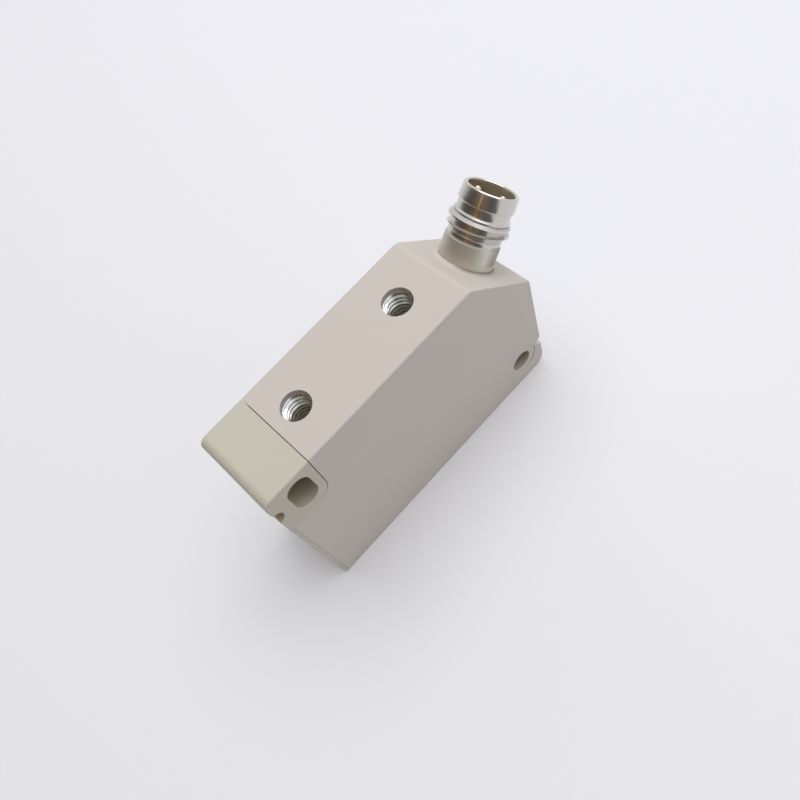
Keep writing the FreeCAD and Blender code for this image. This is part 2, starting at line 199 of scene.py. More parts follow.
beige_grey = satin_moulding("polyester_satin_beige_grey", "CBC4BB", "C7C0B7",
                            roughness=0.62, grain_mm=0.16, depth_mm=0.004)
mounts = {mount["name"]: mount for mount in frame["record"]["mounts"]}
hole = mounts["fixing_hole"]
# Painted shade inside the fixing hole.
painted_bore_shade(beige_grey, "BAAFA1", hole["pos_m"], hole["dims"]["r_mm"] * MM)
housing = sensor_piece(moulded_mesh("housing", "housing_moulding"), beige_grey, "housing_plastic", "housing")
break_edges(housing)

# Front cap: a separate moulding of the same family in a slightly yellower batch, with the upright fixing
# slot, a half-round groove across its front and the thin wall in front of the coil. It is bonded into the
# housing's open end.
GROOVE_RADIUS = 1.1 * MM

yellow_grey = satin_moulding("polyester_satin_yellow_grey", "C6C2B3", "C1BDAD",
                             roughness=0.6, grain_mm=0.16, depth_mm=0.004)
slot = mounts["fixing_slot"]
slot_radius = slot["dims"]["hole_r_mm"] * MM
slot_half_run = slot["dims"]["slot_length_mm"] * MM / 2 - slot_radius
# Painted shade inside the upright fixing slot.
painted_bore_shade(yellow_grey, "B8B39F", slot["pos_m"], slot_radius, slot_half_run)
# Painted shade inside the half-round groove across the front.
groove_middle = (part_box("front_cap")[0].x, 0, slot["pos_m"][2])
painted_bore_shade(yellow_grey, "B0A489", groove_middle, GROOVE_RADIUS)
cap = sensor_piece(moulded_mesh("front_cap", "front_cap_moulding"), yellow_grey, "cap_plastic", "front_cap")
break_edges(cap)

# Threaded inserts: hexagonal steel bar, zinc-bright, moulded in below the top face, each with a blind M4
# thread that starts in a chamfer. The chamfer and the first crests show through the holes in the top. Their
# colour has a painted highlight on one side and painted shade on the other and further down the thread.
INSERT_FLATS = 5.5 * MM
INSERT_THREAD_RADIUS = 2.0 * MM
INSERT_CREST_RADIUS = 1.65 * MM
INSERT_PITCH = 0.7 * MM
INSERT_CREST_SHARE = 0.16
INSERT_ROOT_SHARE = 0.24
INSERT_THREAD_DEPTH = 5.0 * MM
INSERT_RUN_OUT = 2.4 * MM
LEAD_IN_RADIUS = 1.98 * MM
DRILL_DEGREES = 118
DRILL_POINT = math.tan(math.radians(90 - DRILL_DEGREES / 2))
PAINTED_HIGHLIGHT_SIDE = (-0.87, 0.5, 0.0)
PAINTED_HIGHLIGHT_START = 0.1 * INSERT_CREST_RADIUS
PAINTED_HIGHLIGHT_FULL = 0.5 * INSERT_CREST_RADIUS
DEEP_SHADE_START = 2.1 * MM
DEEP_SHADE_FULL = 2.5 * MM


def thread_form(phase, crest, root):
    """Height from 0 at the root to 1 at the crest of a thread, over one turn's phase from 0 to 1:
    a flat crest, a straight flank, a flat root and a straight flank back, with crest and root as shares."""
    flank = (1 - crest - root) / 2
    away = np.abs(np.mod(phase, 1.0) - 0.5)
    return np.clip((away - root / 2) / flank, 0.0, 1.0)


def carried_round(profile, columns):
    """Grids of radius, height and angle, rows by columns, of a profile of (radius, height) points that is
    carried once round an axis."""
    radii = np.repeat(profile[:, :1], columns, axis=1)
    heights = np.repeat(profile[:, 1:], columns, axis=1)
    turn = np.linspace(0, 2 * np.pi, columns, endpoint=False)[None, :]
    return radii, heights, np.repeat(turn, len(profile), axis=0)


def turned_points(radii, heights, angles, foot, axis, sideways):
    """Points of a turned surface: each radius at its angle round the axis, at its height above the foot."""
    axis = np.array(axis)
    first = np.array(sideways)
    second = np.cross(axis, first)
    round_axis = np.cos(angles)[..., None] * first + np.sin(angles)[..., None] * second
    return np.array(foot) + radii[..., None] * round_axis + heights[..., None] * axis


def closed_grid(points, closed_rows, name):
    """Mesh over a grid of points, rows by columns, closed round its columns and, where asked, its rows.
    Rows that shrink to one point become poles when the doubles are merged."""
    rows, columns = points.shape[:2]
    row = np.arange(rows if closed_rows else rows - 1)[:, None]
    column = np.arange(columns)[None, :]
    above = (row + 1) % rows
    beside = (column + 1) % columns
    corners = [row * columns + column, row * columns + beside,
               above * columns + beside, above * columns + column]
    faces = np.stack(np.broadcast_arrays(*corners), axis=-1).reshape(-1, 4)
    mesh = bpy.data.meshes.new(name)
    mesh.from_pydata(points.reshape(-1, 3), [], faces)
    shape = bmesh.new()
    shape.from_mesh(mesh)
    bmesh.ops.remove_doubles(shape, verts=shape.verts, dist=MERGE_DISTANCE)
    bmesh.ops.recalc_face_normals(shape, faces=shape.faces)
    shape.to_mesh(mesh)
    shape.free()
    mesh.shade_smooth()
    return mesh


def insert_mesh(name, foot, length):
    """Hexagonal bar round a threaded hole. One profile is carried round the axis: up the hexagon's side,
    over the top and down the thread's wave to the drill's point. A chamfer opens the thread at the top, and
    towards its end the wave dies out, as a tap's tapered lead leaves it."""
    columns = 144
    thread_rows = 200
    half = INSERT_FLATS / 2
    end = length - INSERT_THREAD_DEPTH
    side = np.array([(0.0, 0.0), (half, 0.0), (half, length)])
    down = np.linspace(length, end, thread_rows)
    thread = np.stack([np.full_like(down, INSERT_CREST_RADIUS), down], axis=1)
    point = np.array([(0.0, end - INSERT_CREST_RADIUS * DRILL_POINT)])
    radii, heights, angles = carried_round(np.concatenate([side, thread, point]), columns)
    flat_phase = np.mod(angles + np.pi / 6, np.pi / 3) - np.pi / 6
    hexagon = 1 / np.cos(flat_phase)
    radii[:len(side)] *= hexagon[:len(side)]
    rows = slice(len(side), len(side) + thread_rows)
    phase = heights[rows] / INSERT_PITCH - angles[rows] / (2 * np.pi)
    wave = 1 - thread_form(phase, INSERT_CREST_SHARE, INSERT_ROOT_SHARE)
    fade = np.clip((heights[rows] - end) / INSERT_RUN_OUT, 0, 1)
    tapped = INSERT_CREST_RADIUS + (INSERT_THREAD_RADIUS - INSERT_CREST_RADIUS) * wave * fade
    radii[rows] = np.maximum(tapped, LEAD_IN_RADIUS - (length - heights[rows]))
    points = turned_points(radii, heights, angles, foot, (0, 0, 1), (1, 0, 0))
    return closed_grid(points, False, name)


def bright_zinc(name, top, bright, shaded_side, shaded_deep):
    """Zinc-bright steel: a cool metal with a fine granular plating. Its colour has a painted highlight on
    one side, painted shade on the other, and deeper painted shade, no longer metallic, further down the
    thread."""
    grain_mm = 0.14
    grain_depth_mm = 0.01
    gloss_range = (0.16, 0.36)
    material, tree, shader, place = new_material(name, bright)
    arm = add_node(tree, "ShaderNodeVectorMath", {"operation": "SUBTRACT"}, {1: top}, {0: place})
    height = add_node(tree, "ShaderNodeSeparateXYZ", links={0: arm.outputs["Vector"]})
    unshaded = add_node(tree, "ShaderNodeMapRange", inputs={"From Min": -DEEP_SHADE_FULL, "From Max": -DEEP_SHADE_START},
                     links={"Value": height.outputs["Z"]})
    side = add_node(tree, "ShaderNodeVectorMath", {"operation": "DOT_PRODUCT"}, {1: PAINTED_HIGHLIGHT_SIDE},
                    {0: arm.outputs["Vector"]})
    lit_side = add_node(tree, "ShaderNodeMapRange", inputs={"From Min": PAINTED_HIGHLIGHT_START, "From Max": PAINTED_HIGHLIGHT_FULL},
                      links={"Value": side.outputs["Value"]})
    plating = add_node(tree, "ShaderNodeMix", {"data_type": "RGBA"},
                       {"A": linear(shaded_side), "B": linear(bright)}, {"Factor": lit_side.outputs["Result"]})
    tint = add_node(tree, "ShaderNodeMix", {"data_type": "RGBA"}, {"A": linear(shaded_deep)},
                    {"Factor": unshaded.outputs["Result"], "B": plating.outputs["Result"]})
    tree.links.new(tint.outputs["Result"], shader.inputs["Base Color"])
    tree.links.new(unshaded.outputs["Result"], shader.inputs["Metallic"])
    grain = add_node(tree, "ShaderNodeTexNoise", inputs={"Scale": 1 / (grain_mm * MM), "Detail": 3.0},
                     links={"Vector": place})
    gloss = add_node(tree, "ShaderNodeMapRange", inputs={"To Min": gloss_range[0], "To Max": gloss_range[1]},
                     links={"Value": grain.outputs["Fac"]})
    tree.links.new(gloss.outputs["Result"], shader.inputs["Roughness"])
    relief = add_node(tree, "ShaderNodeBump", inputs={"Strength": 0.6, "Distance": grain_depth_mm * MM},
                      links={"Height": grain.outputs["Fac"]})
    tree.links.new(relief.outputs["Normal"], shader.inputs["Normal"])
    return material


for node in ("thread_insert_front", "thread_insert_rear"):
    low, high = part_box(node)
    foot = ((low.x + high.x) / 2, (low.y + high.y) / 2, low.z)
    top = (foot[0], foot[1], high.z)
    # Colours: the painted highlight, the painted shade on the other side and the deep painted shade.
    zinc = bright_zinc(node + "_bright_zinc", top, bright="F2F2F0", shaded_side="B4B8AC", shaded_deep="ACA898")
    sensor_piece(insert_mesh(node + "_tapped", foot, high.z - low.z), zinc, "insert_metal", node)

# Plug shell: turned brass with nickel plating, pressed into the slant. Above its matt collar come an
# undercut with a fine ridge, a shallow M8 thread with broad roots, a locating ring, a neck and the thin
# mouth with a key rib inside. Painted shade darkens one side of the collar and of the thread's roots, and
# the housing round the collar's foot.
plug_mount = mounts["plug_thread"]
PLUG_AXIS = Vector(plug_mount["axis"]).normalized()
PLUG_SIDEWAYS = (0, -1, 0)
THREAD_MIDDLE = 5.0 * MM
PLUG_FOOT = Vector(plug_mount["pos_m"]) - PLUG_AXIS * THREAD_MIDDLE
PLUG_SINK = 4.2 * MM
PLUG_SHARP_DEGREES = 50
TURNED_ROUNDING = 0.06 * MM
SEAL_GROOVE_LOW = -2.9 * MM
SEAL_GROOVE_HIGH = -2.3 * MM
SEAL_GROOVE_RADIUS = 3.0 * MM
COLLAR_RADIUS = 3.6 * MM
COLLAR_TOP = 3.3 * MM
COLLAR_CHAMFER = 0.09 * MM
MATT_TOP = 3.45 * MM
UNDERCUT_RADIUS = 3.45 * MM
RIDGE_HEIGHT = 3.98 * MM
RIDGE_HALF = 0.07 * MM
RIDGE_RISE = 0.03 * MM
THREAD_RADIUS = plug_mount["dims"]["r_mm"] * MM
THREAD_PITCH = 1.0 * MM
THREAD_DEPTH = 0.5 * MM
THREAD_TURN = 0.87
THREAD_CREST_SHARE = 0.1
THREAD_ROOT_SHARE = 0.74
THREAD_START = 4.25 * MM
THREAD_END = 6.15 * MM
THREAD_RUN_IN = 1.5
THREAD_CHAMFER = 0.4 * MM
RING_RADIUS = 3.65 * MM
RING_START = 6.36 * MM
RING_END = 6.61 * MM
RING_CONE = 0.21 * MM
NECK_RADIUS = 3.4 * MM
NECK_END = 7.7 * MM
HEAD_RADIUS = 3.6 * MM
HEAD_EDGE_WIDTH = 0.08 * MM
HEAD_EDGE_HEIGHT = 0.1 * MM
RIM_RADIUS = 3.45 * MM
RIM_HEIGHT = 9.7 * MM
RIM_BREAK = 0.11 * MM
RIM_BREAK_WIDTH = 1.7 * RIM_BREAK
LIP_DEPTH = 4 * RIM_BREAK
MOUTH_RADIUS = 2.95 * MM
MOUTH_STEP = 0.6 * MM
PASSAGE_RADIUS = 2.65 * MM
KEY_START = 5 * RIM_BREAK
KEY_DEPTH = 0.45 * MM
KEY_WIDTH = 1.0 * MM
KEY_TURN = math.radians(18.0)
CORNER_SHADE_SIDE = (0.35, -0.87, -0.35)
CORNER_SHADE_START = -1.3 * MM
CORNER_SHADE_FULL = 0.5 * MM
CORNER_SHADE_WIDTH = 0.52 * MM
SIDE_SHADE_DIRECTION = (0.242, -0.940, -0.242)
COLLAR_SIDE_SHADE_DEGREES = (37, 15)
COLLAR_SIDE_SHADE_HEIGHTS = (0.7 * MM, 1.4 * MM, 3.65 * MM)
ROOT_SIDE_SHADE_DEGREES = (60, 45)
ROOT_SIDE_SHADE_HEIGHTS = (3.9 * MM, 4.0 * MM, 6.2 * MM)
ROOT_SIDE_SHADE_REACH = 3.8 * MM


def rounded(corners, reach, steps=4):
    """Polyline through corners (radius, height) with every inner corner replaced by a short parabola
    that starts and ends a given distance before and after it, or a little less than half a shorter side."""
    most = 0.45
    corners = np.array(corners, float)
    here = corners[1:-1]
    back = corners[:-2] - here
    ahead = corners[2:] - here
    back_length = np.linalg.norm(back, axis=1, keepdims=True)
    ahead_length = np.linalg.norm(ahead, axis=1, keepdims=True)
    start = here + back * np.minimum(reach / back_length, most)
    end = here + ahead * np.minimum(reach / ahead_length, most)
    t = np.linspace(0, 1, steps)[None, :, None]
    bend = (1 - t) ** 2 * start[:, None] + 2 * t * (1 - t) * here[:, None] + t ** 2 * end[:, None]
    return np.concatenate([corners[:1], bend.reshape(-1, 2), corners[-1:]])


def plug_mesh(name):
    """Turned shell with a helical thread. A closed profile goes up the outside, over the rim and down the
    mouth. In the thread zone the radius follows the thread's wave up to its last crest and stays full above
    it, limited by a slope at each end. In the mouth a smooth bump of the radius makes the key rib."""
    columns = 256
    thread_rows = 160
    bore_rows = 24
    below = rounded([
        (PASSAGE_RADIUS, -PLUG_SINK),
        (COLLAR_RADIUS, -PLUG_SINK),
        (COLLAR_RADIUS, SEAL_GROOVE_LOW),
        (SEAL_GROOVE_RADIUS, SEAL_GROOVE_LOW),
        (SEAL_GROOVE_RADIUS, SEAL_GROOVE_HIGH),
        (COLLAR_RADIUS, SEAL_GROOVE_HIGH),
        (COLLAR_RADIUS, COLLAR_TOP - COLLAR_CHAMFER),
        (UNDERCUT_RADIUS, COLLAR_TOP),
        (UNDERCUT_RADIUS, RIDGE_HEIGHT - RIDGE_HALF),
        (UNDERCUT_RADIUS + RIDGE_RISE, RIDGE_HEIGHT),
        (UNDERCUT_RADIUS, RIDGE_HEIGHT + RIDGE_HALF),
        (UNDERCUT_RADIUS, THREAD_START),
    ], TURNED_ROUNDING)
    zone = np.linspace(THREAD_START, THREAD_END, thread_rows)
    thread = np.stack([np.full_like(zone, THREAD_RADIUS), zone], axis=1)
    above = rounded([
        (THREAD_RADIUS - THREAD_CHAMFER, THREAD_END),
        (NECK_RADIUS, THREAD_END),
        (NECK_RADIUS, RING_START),
        (RING_RADIUS, RING_START),
        (RING_RADIUS, RING_END - RING_CONE),
        (NECK_RADIUS, RING_END),
        (NECK_RADIUS, NECK_END),
        (HEAD_RADIUS - HEAD_EDGE_WIDTH, NECK_END),
        (HEAD_RADIUS, NECK_END + HEAD_EDGE_HEIGHT),
        (RIM_RADIUS, RIM_HEIGHT - RIM_BREAK),
        (RIM_RADIUS - RIM_BREAK_WIDTH, RIM_HEIGHT),
        (MOUTH_RADIUS + RIM_BREAK_WIDTH, RIM_HEIGHT),
        (MOUTH_RADIUS, RIM_HEIGHT - RIM_BREAK),
        (MOUTH_RADIUS, RIM_HEIGHT - LIP_DEPTH),
    ], TURNED_ROUNDING)
    down = np.linspace(RIM_HEIGHT - KEY_START, MOUTH_STEP, bore_rows)
    bore = np.stack([np.full_like(down, MOUTH_RADIUS), down], axis=1)
    inside = np.array([(PASSAGE_RADIUS, MOUTH_STEP)])
    radii, heights, angles = carried_round(np.concatenate([below, thread, above, bore, inside]), columns)
    rows = slice(len(below), len(below) + thread_rows)
    turn = np.mod(angles[rows] / (2 * np.pi) + 0.5, 1.0) - 0.5
    climb = heights[rows] / THREAD_PITCH - turn - THREAD_TURN
    last_crest = np.floor(THREAD_END / THREAD_PITCH) - 1
    wave = np.where(climb > last_crest, 1.0, thread_form(climb, THREAD_CREST_SHARE, THREAD_ROOT_SHARE))
    run_in = UNDERCUT_RADIUS + THREAD_RUN_IN * (heights[rows] - THREAD_START)
    run_out = THREAD_RADIUS - THREAD_CHAMFER + (THREAD_END - heights[rows])
    radii[rows] = np.minimum(THREAD_RADIUS - THREAD_DEPTH * (1 - wave), np.minimum(run_in, run_out))
    rows = slice(len(below) + thread_rows + len(above), len(radii) - 1)
    key_angle = np.mod(angles[rows] + KEY_TURN + np.pi, 2 * np.pi) - np.pi
    key = np.exp(-((key_angle * MOUTH_RADIUS / (KEY_WIDTH / 2)) ** 4))
    radii[rows] -= KEY_DEPTH * key
    points = turned_points(radii, heights, angles, PLUG_FOOT, PLUG_AXIS, PLUG_SIDEWAYS)
    mesh = closed_grid(points, True, name)
    mesh.set_sharp_from_angle(angle=math.radians(PLUG_SHARP_DEGREES))
    return mesh


def plug_place(tree):
    """Outputs that place a surface's points by the plug: the arm from the plug's foot, the height along its
    axis, the vector round the axis and the distance from it."""
    place = add_node(tree, "ShaderNodeTexCoord").outputs["Object"]
    arm = add_node(tree, "ShaderNodeVectorMath", {"operation": "SUBTRACT"}, {1: PLUG_FOOT}, {0: place})
    arm = arm.outputs["Vector"]
    height = add_node(tree, "ShaderNodeVectorMath", {"operation": "DOT_PRODUCT"}, {1: PLUG_AXIS}, {0: arm})
    aside = add_node(tree, "ShaderNodeVectorMath", {"operation": "CROSS_PRODUCT"}, {1: PLUG_AXIS}, {0: arm})
    aside = aside.outputs["Vector"]
    radius = add_node(tree, "ShaderNodeVectorMath", {"operation": "LENGTH"}, links={0: aside})
    return arm, height.outputs["Value"], aside, radius.outputs["Value"]


def turned_nickel(name, bright, satin, inside):
    """Nickel plating on turned brass. Above the collar it is bright, and fine turning rings draw every
    reflection out along the axis. The collar is matt and yellower. The mouth's wall is a dull brownish
    half-metal, a painted reflection. The rings are drawn coarser than real ones, so that they show."""
    haze_mm = 1.5
    haze_spread = 0.04
    ring_mm = 0.12
    ring_depth_mm = 0.002
    ring_draw = 0.7
    matt_roughness = 0.55
    bright_roughness = 0.18
    wall_metallic = 0.5
    matt_blend = 0.04 * MM
    wall_start = MOUTH_RADIUS + 0.02 * MM
    wall_end = MOUTH_RADIUS + 0.08 * MM
    material, tree, shader, place = new_material(name, bright, Anisotropic_Rotation=0.25)
    _, height, aside, radius = plug_place(tree)
    above = add_node(tree, "ShaderNodeMapRange",
                     inputs={"From Min": MATT_TOP - matt_blend, "From Max": MATT_TOP + matt_blend},
                     links={"Value": height}).outputs["Result"]
    outside = add_node(tree, "ShaderNodeMapRange", inputs={"From Min": wall_start, "From Max": wall_end},
                       links={"Value": radius}).outputs["Result"]
    zone = add_node(tree, "ShaderNodeMix", {"data_type": "RGBA"}, {"A": linear(satin), "B": linear(bright)},
                    {"Factor": above})
    # Painted reflection: the mouth's wall turns a dull brownish half-metal.
    tint = add_node(tree, "ShaderNodeMix", {"data_type": "RGBA"}, {"A": linear(inside)},
                    {"Factor": outside, "B": zone.outputs["Result"]})
    tree.links.new(tint.outputs["Result"], shader.inputs["Base Color"])
    metal = add_node(tree, "ShaderNodeMapRange", inputs={"To Min": wall_metallic, "To Max": 1.0},
                     links={"Value": outside})
    tree.links.new(metal.outputs["Result"], shader.inputs["Metallic"])
    haze = add_node(tree, "ShaderNodeTexNoise", inputs={"Scale": 1 / (haze_mm * MM), "Detail": 3.0},
                    links={"Vector": place})
    blur = add_node(tree, "ShaderNodeMapRange", inputs={"To Min": -haze_spread, "To Max": haze_spread},
                    links={"Value": haze.outputs["Fac"]})
    gloss = add_node(tree, "ShaderNodeMapRange",
                     inputs={"To Min": matt_roughness, "To Max": bright_roughness}, links={"Value": above})
    rough = add_node(tree, "ShaderNodeMath", {"operation": "ADD"},
                     links={0: gloss.outputs["Result"], 1: blur.outputs["Result"]})
    tree.links.new(rough.outputs["Value"], shader.inputs["Roughness"])
    draw = add_node(tree, "ShaderNodeMapRange", inputs={"To Min": 0.0, "To Max": ring_draw},
                    links={"Value": above})
    tree.links.new(draw.outputs["Result"], shader.inputs["Anisotropic"])
    along = add_node(tree, "ShaderNodeVectorMath", {"operation": "NORMALIZE"}, links={0: aside})
    tree.links.new(along.outputs["Vector"], shader.inputs["Tangent"])
    rings = add_node(tree, "ShaderNodeTexNoise", {"noise_dimensions": "1D"},
                     {"Scale": 1 / (ring_mm * MM), "Detail": 2.0}, {"W": height})
    relief = add_node(tree, "ShaderNodeBump", inputs={"Strength": 0.5, "Distance": ring_depth_mm * MM},
                      links={"Height": rings.outputs["Fac"]})
    tree.links.new(relief.outputs["Normal"], shader.inputs["Normal"])
    return material


def painted_corner_shade(material, shade_tone):
    """Painted shade in the corner where the collar leaves the slant: a narrow ring round the collar, darkest
    against the metal and stronger on one side. It stays near the slant, so nothing below is darkened."""
    tree = material.node_tree
    arm, height, _, radius = plug_place(tree)
    near = add_node(tree, "ShaderNodeMapRange", {"interpolation_type": "SMOOTHSTEP"},
                    {"From Min": COLLAR_RADIUS, "From Max": COLLAR_RADIUS + CORNER_SHADE_WIDTH,
                     "To Min": 1.0, "To Max": 0.0}, {"Value": radius})
    shaded_toward = add_node(tree, "ShaderNodeVectorMath", {"operation": "DOT_PRODUCT"}, {1: CORNER_SHADE_SIDE}, {0: arm})
    low = add_node(tree, "ShaderNodeMapRange", inputs={"From Min": CORNER_SHADE_START, "From Max": CORNER_SHADE_FULL},
                   links={"Value": shaded_toward.outputs["Value"]})
    shown = add_node(tree, "ShaderNodeMath", {"operation": "GREATER_THAN"}, {1: -CORNER_SHADE_WIDTH}, {0: height})
    paint_shade_over(material, shade_tone, near.outputs["Result"], low.outputs["Result"], shown.outputs["Value"])


def painted_side_shade(material, side_tone, degrees, heights, reach):
    """Painted shade on one side of the plug. It begins and is full at two angles from the middle of that
    side, and at two heights, and ends at a third. Only surfaces nearer to the axis than its reach carry it."""
    tree = material.node_tree
    turn_start, turn_full = np.cos(np.radians(degrees)).tolist()
    start, full, end = heights
    arm, height, _, radius = plug_place(tree)
    side = add_node(tree, "ShaderNodeVectorMath", {"operation": "DOT_PRODUCT"}, {1: SIDE_SHADE_DIRECTION}, {0: arm})
    share = add_node(tree, "ShaderNodeMath", {"operation": "DIVIDE"},
                     links={0: side.outputs["Value"], 1: radius})
    turned = add_node(tree, "ShaderNodeMapRange", inputs={"From Min": turn_start, "From Max": turn_full},
                      links={"Value": share.outputs["Value"]})
    above = add_node(tree, "ShaderNodeMapRange", inputs={"From Min": start, "From Max": full},
                     links={"Value": height})
    below = add_node(tree, "ShaderNodeMath", {"operation": "LESS_THAN"}, {1: end}, {0: height})
    within = add_node(tree, "ShaderNodeMath", {"operation": "LESS_THAN"}, {1: reach}, {0: radius})
    paint_shade_over(material, side_tone, turned.outputs["Result"], above.outputs["Result"],
              below.outputs["Value"], within.outputs["Value"])


nickel = turned_nickel("nickel_on_turned_brass", bright="D0CCC5", satin="DAD6C9", inside="AA9D85")
# Painted shade on one side of the collar and of the thread's roots.
painted_side_shade(nickel, "A7A49A", COLLAR_SIDE_SHADE_DEGREES, COLLAR_SIDE_SHADE_HEIGHTS, THREAD_RADIUS)
painted_side_shade(nickel, "BDB9B3", ROOT_SIDE_SHADE_DEGREES, ROOT_SIDE_SHADE_HEIGHTS, ROOT_SIDE_SHADE_REACH)
# Painted shade on the housing round the collar's foot.
painted_corner_shade(beige_grey, "746D61")
sensor_piece(plug_mesh("plug_shell_turned"), nickel, "plug_nickel", "plug_shell")

# Plug inside: a dark glass-filled carrier seated in the mouth, three round contacts of gold-plated brass
# with domed tips pressed through it, and a nitrile ring that seals the buried foot.
CONTACT_RADIUS = 0.5 * MM
CONTACT_DOME = 0.55 * MM
CONTACT_SHARP_DEGREES = 40
TIP_SINK = 0.55 * MM
TIP_HEIGHT = RIM_HEIGHT - TIP_SINK


def contact_mesh(name, foot, length):
    """Round pin: a cylinder from its foot to just below the tip, and on it a dome turned from an ellipse."""
    columns = 48
    dome_rows = 12
    t = np.linspace(0, np.pi / 2, dome_rows)
    dome = np.stack([CONTACT_RADIUS * np.cos(t), length - CONTACT_DOME + CONTACT_DOME * np.sin(t)], axis=1)
    profile = np.concatenate([[(0.0, 0.0), (CONTACT_RADIUS, 0.0)], dome])
    radii, heights, angles = carried_round(profile, columns)
    points = turned_points(radii, heights, angles, foot, PLUG_AXIS, PLUG_SIDEWAYS)
    mesh = closed_grid(points, False, name)
    mesh.set_sharp_from_angle(angle=math.radians(CONTACT_SHARP_DEGREES))
    return mesh


def gold_plate(name, colour, worn, roughness):
    """Thin hard gold on brass: warm, glossy, with a faint wiping mark."""
    wipe_mm = 0.3
    material, tree, shader, place = new_material(name, colour, Metallic=1.0, Roughness=roughness)
    wipes = add_node(tree, "ShaderNodeTexNoise", inputs={"Scale": 1 / (wipe_mm * MM), "Detail": 2.0},
                     links={"Vector": place})
    tint = add_node(tree, "ShaderNodeMix", {"data_type": "RGBA"}, {"A": linear(colour), "B": linear(worn)},
                    {"Factor": wipes.outputs["Fac"]})
    tree.links.new(tint.outputs["Result"], shader.inputs["Base Color"])
    return material


def dress(node, finish):
    """Gives a CAD node that shows as it is its finish."""
    materials = frame["nodes"][node].data.materials
    materials.clear()
    materials.append(finish)


gold = gold_plate("hard_gold_on_brass", "EAD9B6", "DFCBA4", roughness=0.2)
for node in ("contact_pin_supply", "contact_pin_ground", "contact_pin_output"):
    low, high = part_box(node)
    across = (low + high) / 2 - PLUG_FOOT
    beside_foot = PLUG_FOOT + across - PLUG_AXIS * across.dot(PLUG_AXIS)
    length = (high.z - low.z - 2 * CONTACT_RADIUS * PLUG_AXIS.x) / PLUG_AXIS.z
    foot = beside_foot + PLUG_AXIS * (TIP_HEIGHT - length)
    sensor_piece(contact_mesh(node + "_domed", foot, length), gold, "contact_gold", node)

dress("contact_carrier", satin_moulding("glass_filled_polyamide_dark", "564A3A", "4E4234",
                                        roughness=0.5, grain_mm=0.2, depth_mm=0.006))
dress("plug_seal", satin_moulding("nitrile_rubber_black", "1C1C1B", "222220",
                                  roughness=0.6, grain_mm=0.1, depth_mm=0.003))

# Coil: a ferrite cup and its copper winding on a pale bobbin, held in a moulded ring behind the sensing
# wall, with two enamelled leads to the board.


def enamelled_copper(name, colour, shade, wire_mm):
    """Enamelled copper wire wound in layers: fine bright turns that follow each other along the coil's axis,
    which is the X axis. At scale 1 the wave texture repeats every tenth of pi."""
    wave_length = np.pi / 10
    material, tree, shader, place = new_material(name, colour, Metallic=1.0, Roughness=0.3)
    turns = add_node(tree, "ShaderNodeTexWave", {"bands_direction": "X"},
                     {"Scale": wave_length / (wire_mm * MM), "Distortion": 0.3}, {"Vector": place})
    tint = add_node(tree, "ShaderNodeMix", {"data_type": "RGBA"}, {"A": linear(shade), "B": linear(colour)},
                    {"Factor": turns.outputs["Fac"]})
    tree.links.new(tint.outputs["Result"], shader.inputs["Base Color"])
    relief = add_node(tree, "ShaderNodeBump", inputs={"Strength": 1.0, "Distance": wire_mm * MM / 4},
                      links={"Height": turns.outputs["Fac"]})
    tree.links.new(relief.outputs["Normal"], shader.inputs["Normal"])
    return material


copper = enamelled_copper("enamelled_copper", "C27A4A", "8E4E2A", wire_mm=0.16)
for node in ("coil_winding", "coil_lead_start", "coil_lead_end"):
    dress(node, copper)
dress("core_holder", satin_moulding("liquid_crystal_polymer_pale", "D6D2C2", "CFCABA",
                                    roughness=0.5, grain_mm=0.2, depth_mm=0.004))
dress("coil_bobbin", satin_moulding("bobbin_polyamide_pale", "DAD6C8", "D2CEC0",
                                    roughness=0.5, grain_mm=0.2, depth_mm=0.004))
dress("ferrite_core", satin_moulding("ground_ferrite_dark_grey", "4A4A4C", "3F3F42",
                                     roughness=0.55, grain_mm=0.05, depth_mm=0.004))

# Circuit board and its soldered parts: green glass-epoxy laminate with black moulded chips and tan ceramic
# ones, all set in dark cast resin that fills the housing.
dress("circuit_board", satin_moulding("green_resist_on_glass_epoxy", "2F6B3E", "2A6238",
                                      roughness=0.35, grain_mm=0.3, depth_mm=0.004))
dress("potting", satin_moulding("dark_cast_resin", "3B3733", "35312E",
                                roughness=0.3, grain_mm=1.2, depth_mm=0.01))
compound = satin_moulding("black_moulding_compound", "2A2A2B", "242425",
                          roughness=0.5, grain_mm=0.08, depth_mm=0.004)
for node in ("oscillator_chip", "output_transistor", "supply_regulator",
             "reverse_diode", "surge_suppressor"):
    dress(node, compound)
ceramic = satin_moulding("tan_sintered_ceramic", "B09A78", "A68F6D",
                         roughness=0.45, grain_mm=0.1, depth_mm=0.003)
for node in ("tuning_capacitor", "filter_capacitor", "load_resistor", "trim_resistor"):
    dress(node, ceramic)

# Stage, in metres: a table of pale card that fades into a pale room. A curved brown-grey screen with a
# golden lath stands at the sensing side, for the metal to mirror, and a low grey flag shades the plug end.
# The camera sees only the table. A tone of the screen is an azimuth in degrees, a colour and a cover.
ROOM_COLOUR = "ECECF1"
GROUND = 0.001
TABLE_REACH = 3.0
TABLE_CLEAR = 0.15
TABLE_FADED = 0.4
SCREEN_DISTANCE = 0.42
SCREEN_HEIGHT = 0.62
SCREEN_TONES = [
    (88, "A8A29C", 0.0), (106, "98928C", 0.5), (120, "7C7670", 1.0), (132, "645E58", 1.0),
    (152, "5A544D", 1.0), (166, "665948", 1.0), (178, "786449", 1.0), (188, "806848", 1.0),
    (191, "A58A5C", 1.0), (194, "806848", 1.0), (208, "806C57", 1.0), (220, "796D63", 1.0),
    (236, "66615C", 1.0), (257, "6C6762", 1.0), (269, "A8A29C", 0.0),
]
LATH_DISTANCE = 0.41
LATH_AZIMUTHS = (189, 193)
LATH_HEIGHTS = (0.31, 0.6)
FLAG_DISTANCE = 0.42
FLAG_REACH = 0.4
